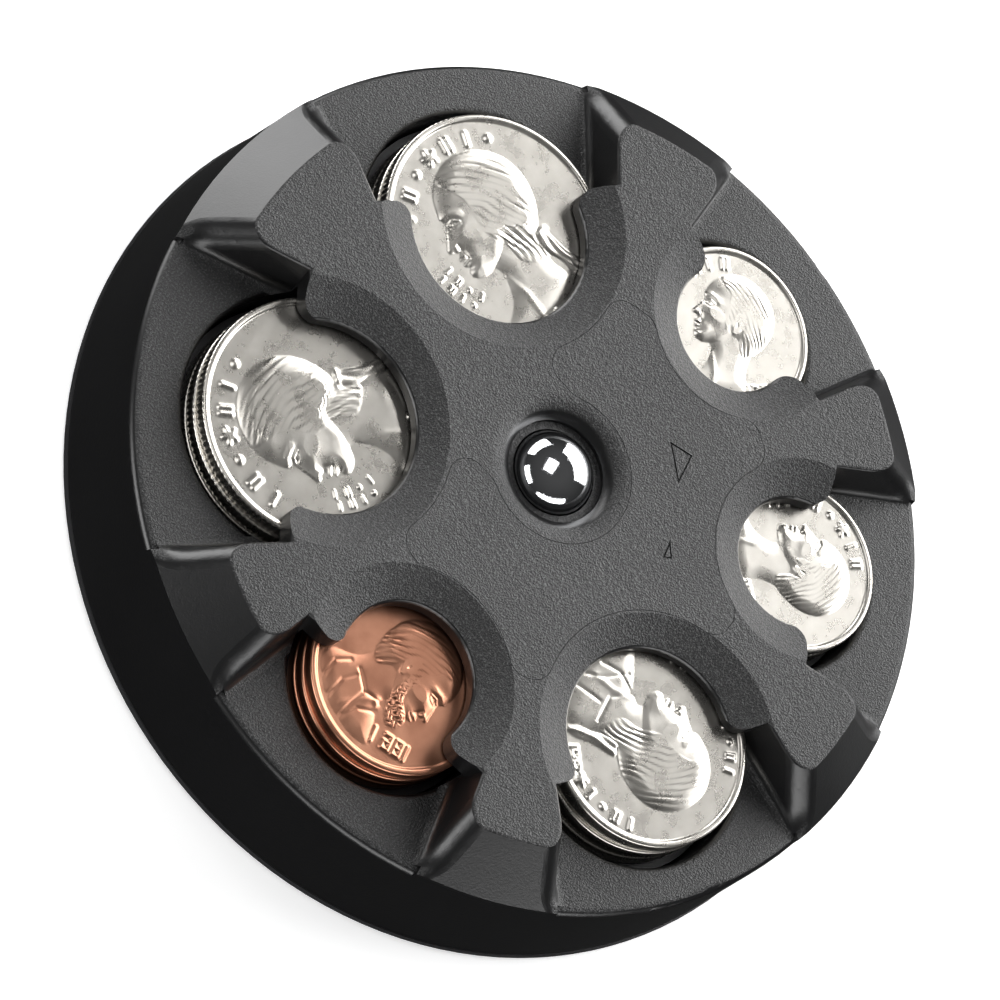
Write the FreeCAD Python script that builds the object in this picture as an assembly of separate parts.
import FreeCAD, Part
import math
import os

# Coin sorter puck: six sprung coin wells around a chrome ball button.
# Millimetres, +Z up, origin at the middle of the underside that it stands on.

V = FreeCAD.Vector
UP = V(0, 0, 1)
os.makedirs("parts", exist_ok=True)

# ---------------------------------------------------------------- driving sizes
rim_r = 42.75            # outer edge of the pocket floors
side_flare = 1.15        # the side wall flares out by this much towards the bottom
floor_z = 14.4           # pocket floors above the table
side_wall = 1.8          # thickness of the side wall
floor_t = 1.6            # thickness of the pocket floors

star_inset = 4.95        # the flat top of each spoke ends this far inside the rim
star_top_out = 4.86      # star top above the pocket floors, at the spoke ends
star_top_in = 4.2        # star top above the pocket floors, beside the ball
spoke_foot = 0.5         # height of a spoke's sloping end where it meets the rim

lip_top = 3.2            # lip edge above the pocket floors
lip_edge_r = 0.25        # rounding of the lip's upper edge
scoop_w = 3.1            # width of the sloping scoop round each lip
slot_play = 0.20         # slot under a lip, more than one coin's thickness
well_play = 1.1          # well radius, more than the coin's
well_edge_r = 0.7        # rounding where a well opens into its pocket floor
rim_edge_r = 0.8         # rounding of the rim at the pockets

flank_flare = 13.0       # degrees that each pocket widens towards the rim, per side
flank_draft = 10.0       # degrees that each spoke flank leans
flank_foot_r = 1.1       # hollow rounding between a flank and the pocket floor
ear_r = 1.8              # rounding of the two ears that end each lip
corner_r = 2.2           # rounding of the ridge down each spoke corner
top_edge_r = 0.35        # rounding of the star's top edges

ball_r = 4.5             # chrome ball
ball_rise = 1.0          # middle of the ball above the pocket floors
ball_play = 0.12         # gap between the ball and the lip that keeps it in
ball_lip_t = 0.8         # thickness of that lip
ball_groove_r = 5.16     # sunk ring round the ball
ball_groove = 0.5        # depth of that ring
ball_bore_play = 0.2     # bore radius under the lip, more than the ball's
scoop_level_r = 15.0     # the scoops are scoop_w wide where the star is this far out
crater_r = 7.6           # outer edge of the hollow round the ball
crater_floor = 3.0       # bottom of that hollow above the pocket floors
crater_bulge = 0.3       # the hollow's side bulges this far from straight
ball_seat_h = 2.65       # height of the stem's cup under the ball
stem_cup_play = 0.5      # stem cup radius, less than the ball bore's
flange_r = 6.4
flange_t = 1.15
hub_r = 8.2
hub_depth = 4.6          # hub under the pocket floors' plane
pin_r = 1.5
pin_play = 0.1
post_wall = 0.9
post_h = 4.0
button_travel = 1.2
stop_play = 0.05         # gap between a moving piece and the stop it rests on

foot_h = 0.4             # rubber foot below the tray
foot_inset = 3.8         # inner edge of the foot, inside the outer edge of the tray
foot_w = 2.0
foot_edge_r = 0.25
foot_seat = 0.02         # gap over the foot in its groove
foot_groove = 0.8
foot_play = 0.05
tray_t = 1.6
tray_band = 1.0          # visible edge of the tray under the side wall
tray_chamfer = 0.4
join = 0.1               # how far pieces of one moulding run into each other
band_step = 0.12         # the shell's lower edge stands this far inside the tray's
tube_wall = 1.2
tube_gap = 0.1           # between the tops of the tubes and the pocket floors' underside
register_h = 1.4         # ring on the tray that centres the shell
register_t = 1.2
register_play = 0.1

screw_angles = (91.05, 213.65, 326.05)
screw_inset = 5.45       # screw middles, inside the rim
screw_boss_r = 2.6
screw_shank_r = 0.95
screw_hole_r = 1.2
screw_head_r = 2.0
screw_head_h = 0.7
screw_pocket_r = 2.2
screw_tip_play = 0.5     # gap past the end of a screw
screw_sink = 0.02        # the heads stand this far inside the tray
screw_slot_l = 2.2
screw_slot_w = 0.45
screw_slot_depth = 0.4
screw_len = 8.0

follower_play = 0.3
follower_t = 1.2
follower_skirt = 2.0
follower_skirt_t = 1.2
spring_wire = 0.7
spring_turns = 3.0
runs_per_turn = 18
spring_play = 0.04       # gap at each end of a spring
button_wire = 0.5
button_coil_play = 0.9   # coil radius, more than the post's
spring_inset = 3.2       # coil radius, less than the well's
coin_gap = 0.03          # between the top coin and the one below it
coin_lean = V(-0.22, 0.05, 0)    # each lower coin lies back by this much

cover_t = 1.0            # centre cover's thickness at its thinnest
cover_reach = (19.7, 22.0, 22.5, 23.0, 19.6)     # reach of its lobes, one on each spoke
cover_play = 0.05
cover_margin = 0.3       # cover edge, further out than the coin scoops
cover_lobe_r = 2.1       # rounding of its lobes in plan
cover_neck_r = 1.2       # rounding of its inner corners in plan
tongue_half = 6.6        # half the gap in the cover that the ball stands in
peg_r = 1.0
peg_l = 2.0
peg_play = 0.05
peg_spots = ((-13.0, 1.0), (13.0, 0.5), (0.5, -14.5))
mark_depth = 0.15        # two arrowheads engraved in the cover
mark_line = 0.16
MARKS = (((11.16, -6.11), (11.95, -8.64), (8.52, -9.45)),
         ((3.44, -12.52), (1.36, -13.10), (2.09, -13.86)))

# name, coin (radius, thickness), well angle, well axis inside the rim, lip radius, notch
# distance outward of the axis, lower coins in the stack, how far off the axis the coins lie
QUARTER = (12.13, 1.75)
DIME = (8.955, 1.35)
NICKEL = (10.605, 1.95)
CENT = (9.525, 1.52)
WELLS = (
    ("quarter_a", QUARTER, 54.9, 18.25, 9.5, 3.3, 2, V(0.55, -0.10, 0)),
    ("quarter_b", QUARTER, 127.2, 18.25, 9.5, 3.3, 2, V(0.10, 0.00, 0)),
    ("cent", CENT, 185.4, 15.25, 6.9, 3.2, 2, V(0.40, -0.10, 0)),
    ("nickel", NICKEL, 241.9, 15.55, 8.9, 1.8, 2, V(0.68, -0.25, 0)),
    ("dime_a", DIME, 299.5, 15.65, 6.5, 2.1, 3, V(0.90, -0.45, 0)),
    ("dime_b", DIME, 352.6, 15.65, 6.5, 2.1, 3, V(0.60, -0.15, 0)),
)

# ---------------------------------------------------------------- worked-out sizes
base_r = rim_r + side_flare
star_r = rim_r - star_inset
foot_in_r = base_r - foot_inset
screw_circle_r = rim_r - screw_inset
tray_z = foot_h
tray_top = tray_z + tray_t
shell_z = tray_z + tray_band
floor_under = floor_z - floor_t
star_top_z = floor_z + star_top_out
plateau_slope = (star_top_out - star_top_in) / (star_r - crater_r)
side_slope = side_flare / (floor_z - tray_z)
hub_under = floor_z - hub_depth
ball_z = floor_z + ball_rise
ball_bore_r = ball_r + ball_bore_play
cover_z = floor_z + star_top_in - cover_t
reach = 8.0              # how far cutting shapes run past the body


class Well:
    """One coin well, its place and the heights that its coin sets."""

    def __init__(self, name, coin, angle, inset, lip_r, notch_u, lower, rest):
        self.name = name
        self.coin_r, self.coin_t = coin
        self.angle = angle
        self.circle = rim_r - inset
        self.lip_r = lip_r
        self.scoop_r = lip_r + scoop_w
        self.notch_u = notch_u
        self.lower = lower
        self.rest = rest
        self.bore_r = self.coin_r + well_play
        self.axis = V(self.circle * math.cos(math.radians(angle)),
                      self.circle * math.sin(math.radians(angle)), 0)
        self.slot_z = floor_z + self.coin_t + slot_play
        self.top_coin_z = self.slot_z - stop_play - self.coin_t
        self.stack_top_z = self.top_coin_z - coin_gap
        self.follower_z = self.stack_top_z - lower * self.coin_t - follower_t

    def place(self, shape):
        """Turn a shape made round the origin, outward along +X, and put it on the well."""
        placed = shape.copy()
        placed.rotate(V(0, 0, 0), UP, self.angle)
        placed.translate(self.axis)
        return placed


def cylinder(radius, z0, z1, at=V(0, 0, 0)):
    return Part.makeCylinder(radius, z1 - z0, V(at.x, at.y, z0), UP)


def ring(outer, inner, z0, z1, at=V(0, 0, 0)):
    return cylinder(outer, z0, z1, at).cut(cylinder(inner, z0 - 1, z1 + 1, at))


def revolve(points):
    """Turn a closed (radius, height) outline about the Z axis."""
    corners = [V(r, 0, z) for r, z in points]
    face = Part.Face(Part.makePolygon(corners + corners[:1]))
    return face.revolve(V(0, 0, 0), UP, 360)


def side_radius(z):
    """Outer radius of the side wall at height z."""
    return rim_r + (floor_z - z) * side_slope


def edges_where(shape, test):
    return [edge for edge in shape.Edges if test(edge)]


def save(name, shape):
    shape.exportStep("parts/" + name + ".step")
    print("%-18s solids %d  volume %.1f  valid %s" % (name, len(shape.Solids), shape.Volume,
                                                      shape.isValid()))


# ---------------------------------------------------------------- pockets
def pocket_block(well, bottom=floor_z, widen=0.0):
    """The space between two spokes: flat floor, leaning flanks, open at the rim."""
    height = star_top_z + reach - bottom
    rise = bottom - floor_z
    lean = math.tan(math.radians(flank_draft)) / math.cos(math.radians(flank_flare))
    length = rim_r + reach - well.circle - well.notch_u
    half_in = math.sqrt(well.bore_r ** 2 - well.notch_u ** 2) + widen
    half_out = half_in + length * math.tan(math.radians(flank_flare))

    def outline(z, grow):
        near = half_in + grow
        far = half_out + grow
        u0 = well.notch_u
        u1 = well.notch_u + length
        pts = [V(u0, -near, z), V(u1, -far, z), V(u1, far, z), V(u0, near, z)]
        return Part.makePolygon(pts + pts[:1])

    low = outline(bottom, rise * lean)
    high = outline(bottom + height, (rise + height) * lean)
    return Part.makeLoft([low, high], True, True)


def is_flank_foot(edge, z):
    box = edge.BoundBox
    return box.ZLength < 0.001 and abs(box.ZMin - z) < 0.001 and box.XLength > 5


def pocket_cutter(well):
    """Pocket and lip opening in one, with rounded flank feet, notches and ears."""
    block = pocket_block(well)
    feet = edges_where(block, lambda e: is_flank_foot(e, floor_z))
    block = block.makeFillet(flank_foot_r, feet)
    opening = cylinder(well.lip_r, floor_z, star_top_z + reach)
    both = block.fuse(opening).removeSplitter()
    ear_v = math.sqrt(well.lip_r ** 2 - well.notch_u ** 2)
    ears = edges_where(both, lambda e: is_upright_at(e, well.notch_u, ear_v))
    both = both.makeFillet(ear_r, ears)
    return well.place(both)


def is_upright_at(edge, x, y):
    box = edge.BoundBox
    upright = box.ZLength > 3 and box.XLength < 0.01 and box.YLength < 0.01
    return upright and abs(box.XMin - x) < 0.05 and abs(abs(box.YMin) - y) < 0.05


def well_edge_cutter(well):
    """Rounds the edge where the well opens into the pocket floor, only inside the pocket."""
    r0 = well.bore_r
    r1 = r0 + well_edge_r
    z0 = floor_z - well_edge_r
    centre = V(r1, 0, z0)
    mid = centre + V(-well_edge_r * math.cos(math.pi / 4), 0, well_edge_r * math.sin(math.pi / 4))
    arc = Part.Arc(V(r0, 0, z0), mid, V(r1, 0, floor_z)).toShape()
    lines = [V(r1, 0, floor_z), V(r1, 0, floor_z + 1), V(0, 0, floor_z + 1), V(0, 0, z0), V(r0, 0, z0)]
    wire = Part.Wire([arc] + Part.makePolygon(lines).Edges)
    trumpet = Part.Face(wire).revolve(V(0, 0, 0), UP, 360)
    inside = pocket_block(well, floor_z - 2 * well_edge_r, -flank_foot_r)
    return well.place(trumpet.common(inside))


def rim_edge_cutter():
    """Ring that rounds the rim."""
    wall_r = side_radius(floor_z - rim_edge_r)
    inner = rim_r - rim_edge_r
    mid = V(inner + rim_edge_r * math.sin(math.pi / 4), 0,
            floor_z - rim_edge_r + rim_edge_r * math.cos(math.pi / 4))
    arc = Part.Arc(V(inner, 0, floor_z), mid, V(wall_r, 0, floor_z - rim_edge_r)).toShape()
    lines = [V(wall_r, 0, floor_z - rim_edge_r), V(wall_r + 1, 0, floor_z - rim_edge_r),
             V(wall_r + 1, 0, floor_z + 1), V(inner, 0, floor_z + 1), V(inner, 0, floor_z)]
    wire = Part.Wire([arc] + Part.makePolygon(lines).Edges)
    return Part.Face(wire).revolve(V(0, 0, 0), UP, 360)


def scoop_cutter(well):
    """Cone round the lip, from the lip's rounded edge up past the star top."""
    z0 = floor_z + lip_top
    slope = (star_height(scoop_level_r) - z0) / scoop_w
    far = well.scoop_r + reach
    far_z = z0 + slope * (far - well.lip_r)
    start = V(well.lip_r, 0, z0 - lip_edge_r)
    middle = V(well.lip_r + 0.27 * lip_edge_r, 0, z0 - 0.27 * lip_edge_r)
    end = V(well.lip_r + lip_edge_r, 0, z0 + slope * lip_edge_r)
    edge = Part.Arc(start, middle, end).toShape()
    rest = Part.makePolygon([end, V(far, 0, far_z), V(0, 0, far_z), V(0, 0, start.z), start])
    cone = Part.Face(Part.Wire([edge] + rest.Edges)).revolve(V(0, 0, 0), UP, 360)
    return well.place(cone)


def crater_cutter():
    """The rounded hollow round the ball, its sunk ring, and the ball's bore with its lip."""
    low = floor_z + crater_floor
    high = star_height(crater_r)
    width = crater_r - ball_groove_r
    length = math.hypot(width, high - low)
    middle = V((crater_r + ball_groove_r) / 2 - crater_bulge * (high - low) / length, 0,
               (high + low) / 2 + crater_bulge * width / length)
    side = Part.Arc(V(ball_groove_r, 0, low), middle, V(crater_r, 0, high)).toShape()
    rest = Part.makePolygon([V(crater_r, 0, high), V(crater_r, 0, high + reach), V(0, 0, high + reach),
                             V(0, 0, low - ball_groove), V(ball_groove_r, 0, low - ball_groove),
                             V(ball_groove_r, 0, low)])
    hollow = Part.Face(Part.Wire([side] + rest.Edges)).revolve(V(0, 0, 0), UP, 360)
    bore = cylinder(ball_bore_r, hub_under - 1, low - ball_groove - ball_lip_t)
    mouth = Part.makeSphere(ball_r + ball_play, V(0, 0, ball_z))
    return hollow.fuse(bore).fuse(mouth)


# ---------------------------------------------------------------- top shell
def star_height(r):
    return floor_z + star_top_in + plateau_slope * (r - crater_r)


def outer_body():
    """Solid of the whole top before anything is cut: side wall, end slopes, star top."""
    foot_r = side_radius(shell_z) - band_step
    return revolve([(0, shell_z), (foot_r, shell_z), (rim_r, floor_z), (rim_r, floor_z + spoke_foot),
                    (star_r, star_top_z), (crater_r, star_height(crater_r)),
                    (0, star_height(crater_r))])


def inner_space():
    """Hollow under the floors, inside the side wall."""
    low_r = side_radius(shell_z) - side_wall
    high_r = side_radius(floor_under) - side_wall
    return revolve([(0, shell_z - 1), (low_r, shell_z - 1), (high_r, floor_under), (0, floor_under)])


def is_spoke_ridge(edge):
    """The edge that runs down a spoke's corner, from the star top to the rim."""
    box = edge.BoundBox
    return abs(box.ZMax - star_top_z) < 0.05 and box.ZMin < floor_z + spoke_foot + flank_foot_r


def cover_prism(play, z0, z1):
    """The centre cover's plan: lobes out along five spokes, hollows round the scoops."""
    turns = [well.angle for well in wells[1:]] + [wells[0].angle + 360]
    slices = [Part.makeCylinder(far, 1, V(0, 0, z0), UP, end - start)
              for far, start, end in zip(cover_reach, turns, turns[1:])]
    for piece, start in zip(slices, turns):
        piece.rotate(V(0, 0, 0), UP, start)
    body = slices[0].multiFuse(slices[1:])
    for well in wells:
        body = body.cut(well.place(cylinder(well.scoop_r + cover_margin, z0 - 1, z0 + 2)))
    body = body.cut(cylinder(crater_r, z0 - 1, z0 + 2))
    gap = Part.makeBox(2 * tongue_half, 2 * max(cover_reach), 3, V(-tongue_half, 0, z0 - 1))
    body = body.cut(gap).removeSplitter()
    plan = min(body.Faces, key=lambda face: face.BoundBox.ZMax)
    plan = plan.makeOffset2D(-cover_lobe_r).makeOffset2D(cover_lobe_r + cover_neck_r)
    plan = plan.makeOffset2D(-cover_neck_r - play)
    return plan.extrude(V(0, 0, z1 - z0))


def star_face(body):
    """The large gently sloping face on top of the star."""
    high = [face for face in body.Faces if face.BoundBox.ZMin > floor_z + lip_top]
    return max(high, key=lambda face: face.Area)


def make_top_shell():
    body = outer_body()
    for well in wells:
        body = body.cut(pocket_cutter(well))
    body = body.makeFillet(corner_r, edges_where(body, is_spoke_ridge))
    body = body.makeFillet(top_edge_r, star_face(body).Edges)
    for well in wells:
        body = body.cut(scoop_cutter(well))
    body = body.cut(inner_space())
    rounder = rim_edge_cutter()
    for well in wells:
        body = body.cut(cylinder(well.bore_r, shell_z, well.slot_z, well.axis))
        body = body.cut(well_edge_cutter(well))
        body = body.cut(rounder.common(well.place(pocket_block(well, floor_z - 2))))
    body = body.fuse(cylinder(hub_r, hub_under, floor_under + join))
    body = body.cut(crater_cutter())
    body = body.cut(cover_prism(0.0, cover_z, star_top_z + 2))
    for x, y in peg_spots:
        body = body.cut(cylinder(peg_r + peg_play, cover_z - peg_l - join, cover_z + join, V(x, y, 0)))
    for spot in screw_spots:
        body = body.fuse(cylinder(screw_boss_r, tray_top + tube_gap, floor_under + join, spot))
    for spot in screw_spots:
        body = body.cut(cylinder(screw_shank_r, tray_top, tray_z + screw_len, spot))
    return body.removeSplitter()


def make_centre_cover():
    plate = outer_body().common(cover_prism(cover_play, cover_z, star_top_z + 2))
    for x, y in peg_spots:
        plate = plate.fuse(cylinder(peg_r, cover_z - peg_l, cover_z + join, V(x, y, 0)))
    for mark in MARKS:
        plate = plate.cut(mark_cutter(mark))
    return plate.removeSplitter()


def mark_cutter(corners):
    """A thin triangular line, cut into the star top."""
    middle = sum((V(x, y, 0) for x, y in corners), V(0, 0, 0)) / 3
    z = star_height(middle.Length) - mark_depth
    pts = [V(x, y, z) for x, y in corners]
    plan = Part.Face(Part.makePolygon(pts + pts[:1]))
    inside = plan.makeOffset2D(-mark_line, 2)
    return plan.cut(inside).extrude(V(0, 0, 2))


# ---------------------------------------------------------------- tray and foot
def make_base_tray():
    body = revolve([(0, tray_z), (base_r - tray_chamfer, tray_z), (base_r, tray_z + tray_chamfer),
                    (side_radius(shell_z), shell_z), (0, shell_z)])
    body = body.fuse(cylinder(side_radius(tray_top) - side_wall - register_play, shell_z - join, tray_top))
    reg_r = side_radius(tray_top + register_h) - side_wall - register_play
    body = body.fuse(ring(reg_r, reg_r - register_t, tray_top - join, tray_top + register_h))
    for well in wells:
        tube = cylinder(well.bore_r + tube_wall, tray_top - join, floor_under - tube_gap, well.axis)
        body = body.fuse(tube)
    for well in wells:
        body = body.cut(cylinder(well.bore_r, tray_top, floor_under + 1, well.axis))
    body = body.fuse(cylinder(pin_r + pin_play + post_wall, tray_top - join, tray_top + post_h))
    body = body.cut(cylinder(pin_r + pin_play, tray_top, tray_top + post_h + 1))
    for spot in screw_spots:
        body = body.cut(cylinder(screw_boss_r + tube_gap, tray_top, floor_under, spot))
        body = body.cut(cylinder(screw_hole_r, tray_z - 1, tray_top + 1, spot))
        body = body.cut(cylinder(screw_pocket_r, tray_z - 1, tray_z + screw_head_h + stop_play, spot))
    groove = ring(foot_in_r + foot_w + foot_play, foot_in_r - foot_play, tray_z - 1, tray_z + foot_groove)
    return body.cut(groove).removeSplitter()


def make_foot_ring():
    foot = ring(foot_in_r + foot_w, foot_in_r, 0, tray_z + foot_groove - foot_seat)
    low = edges_where(foot, lambda e: abs(e.BoundBox.ZMax) < 0.001)
    return foot.makeFillet(foot_edge_r, low)


def make_screws():
    screws = []
    for spot in screw_spots:
        head = cylinder(screw_head_r, tray_z + screw_sink, tray_z + screw_head_h, spot)
        tip = tray_z + screw_len - screw_tip_play
        screw = head.fuse(cylinder(screw_shank_r, tray_z + screw_head_h - join, tip, spot))
        for turn in (0, 90):
            slot = Part.makeBox(screw_slot_l, screw_slot_w, 2 * screw_slot_depth,
                                V(-screw_slot_l / 2, -screw_slot_w / 2, tray_z - screw_slot_depth))
            slot.rotate(V(0, 0, 0), UP, turn)
            slot.translate(spot)
            screw = screw.cut(slot)
        screws.append(screw.removeSplitter())
    return Part.makeCompound(screws)


# ---------------------------------------------------------------- ball button
def make_ball():
    return Part.makeSphere(ball_r, V(0, 0, ball_z))


def make_button_stem():
    flange_top = hub_under - stop_play
    flange = cylinder(flange_r, flange_top - flange_t, flange_top)
    cup = cylinder(ball_bore_r - stem_cup_play, flange_top - join, flange_top + ball_seat_h)
    pin = cylinder(pin_r, tray_top + button_travel + pin_play, flange_top)
    return flange.fuse(cup).fuse(pin).cut(make_ball()).removeSplitter()


def coil(radius, wire, z0, z1, at=V(0, 0, 0)):
    """Round wire wound between two seats, in short straight runs along its helix."""
    height = z1 - z0 - wire - 2 * spring_play
    count = int(spring_turns * runs_per_turn)
    path = []
    for i in range(count + 1):
        turn = 2 * math.pi * i / runs_per_turn
        path.append(V(radius * math.cos(turn), radius * math.sin(turn), height * i / count))
    section = Part.Wire(Part.Circle(path[0], path[1] - path[0], wire / 2).toShape())
    spring = Part.makePolygon(path).makePipeShell([section], True, False, 1)
    spring.translate(V(at.x, at.y, z0 + wire / 2 + spring_play))
    return spring


# ---------------------------------------------------------------- coin columns
def make_follower(well):
    r = well.bore_r - follower_play
    plate = cylinder(r, well.follower_z, well.follower_z + follower_t, well.axis)
    skirt = ring(r, r - follower_skirt_t, well.follower_z - follower_skirt, well.follower_z + join,
                 well.axis)
    return plate.fuse(skirt).removeSplitter()


def make_coin(well, z, shift):
    return cylinder(well.coin_r, z, z + well.coin_t, well.axis + shift)


def make_stack(well):
    coins = []
    for i in range(well.lower):
        z = well.stack_top_z - (i + 1) * well.coin_t
        coins.append(make_coin(well, z, well.rest + coin_lean * (i + 1)))
    return Part.makeCompound(coins)


wells = [Well(*row) for row in WELLS]
screw_spots = [V(screw_circle_r * math.cos(math.radians(a)), screw_circle_r * math.sin(math.radians(a)), 0)
               for a in screw_angles]

save("top_shell", make_top_shell())
save("centre_cover", make_centre_cover())
save("base_tray", make_base_tray())
save("foot_ring", make_foot_ring())
save("tray_screws", make_screws())
save("chrome_ball", make_ball())
save("button_stem", make_button_stem())
save("button_spring", coil(pin_r + pin_play + post_wall + button_coil_play, button_wire, tray_top,
                           hub_under - stop_play - flange_t))
for well in wells:
    save("follower_" + well.name, make_follower(well))
    save("spring_" + well.name, coil(well.bore_r - spring_inset, spring_wire, tray_top,
                                     well.follower_z, well.axis))
    save("stack_" + well.name, make_stack(well))
    save("top_" + well.name, make_coin(well, well.top_coin_z, well.rest))
